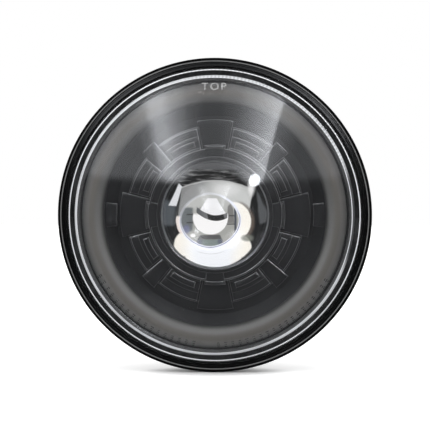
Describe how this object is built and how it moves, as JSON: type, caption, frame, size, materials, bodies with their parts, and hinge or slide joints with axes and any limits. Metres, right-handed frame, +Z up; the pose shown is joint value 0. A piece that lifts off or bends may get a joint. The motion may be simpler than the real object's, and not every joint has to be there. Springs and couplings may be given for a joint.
{
  "type": "round motorcycle headlight",
  "caption": "Round motorcycle headlight insert: domed glass front, halo ring, stepped bezel and projector in a finned cast bowl that seats by its rim, with a blade inlet behind.",
  "frame": {"origin": "centre of the seating face behind the rim, on the optical axis", "axes": "-Y is the way the light goes, +Z is up in use, +X is to the right seen from the front"},
  "size_m": [0.178, 0.1386, 0.178],
  "materials": {
    "clear_glass": "polished",
    "black_rubber": "matte",
    "black_casting": "satin",
    "smoked_diffuser": "satin",
    "white_board": "satin",
    "phosphor": "satin",
    "screw_steel": "satin",
    "black_moulding": "satin",
    "lens_glass": "polished",
    "black_spring": "satin",
    "holder_casting": "matte",
    "polished_plate": "gloss",
    "reflector_mirror": "polished",
    "bare_casting": "satin",
    "dark_board": "satin",
    "grey_pad": "matte",
    "green_board": "satin",
    "chip_black": "matte",
    "capacitor_can": "satin",
    "ferrite": "matte",
    "inlet_moulding": "matte",
    "tinned_brass": "satin",
    "membrane_white": "matte"
  },
  "bodies": {
    "root": {"front_lens": "clear_glass", "lens_seal": "black_rubber", "housing": "black_casting", "halo_diffuser": "smoked_diffuser", "halo_board": "white_board", "halo_leds": "phosphor", "halo_screws": "screw_steel", "bezel": "black_moulding", "bezel_screws": "screw_steel", "projector_lens": "lens_glass", "lens_retainer": "black_spring", "lens_holder": "holder_casting", "holder_screws": "screw_steel", "cutoff_plate": "polished_plate", "upper_reflector": "reflector_mirror", "lower_reflector": "reflector_mirror", "reflector_screws": "screw_steel", "projector_frame": "bare_casting", "frame_screws": "screw_steel", "low_beam_board": "dark_board", "low_beam_leds": "phosphor", "high_beam_board": "dark_board", "high_beam_leds": "phosphor", "thermal_pad": "grey_pad", "heat_sink": "black_casting", "heat_sink_gasket": "black_rubber", "heat_sink_screws": "screw_steel", "driver_board": "green_board", "driver_chips": "chip_black", "driver_capacitors": "capacitor_can", "driver_chokes": "ferrite", "driver_screws": "screw_steel", "inlet_body": "inlet_moulding", "inlet_gasket": "black_rubber", "inlet_screws": "screw_steel", "terminal_blades": "tinned_brass", "breather_plug": "inlet_moulding", "breather_membrane": "membrane_white"}
  },
  "joints": []
}
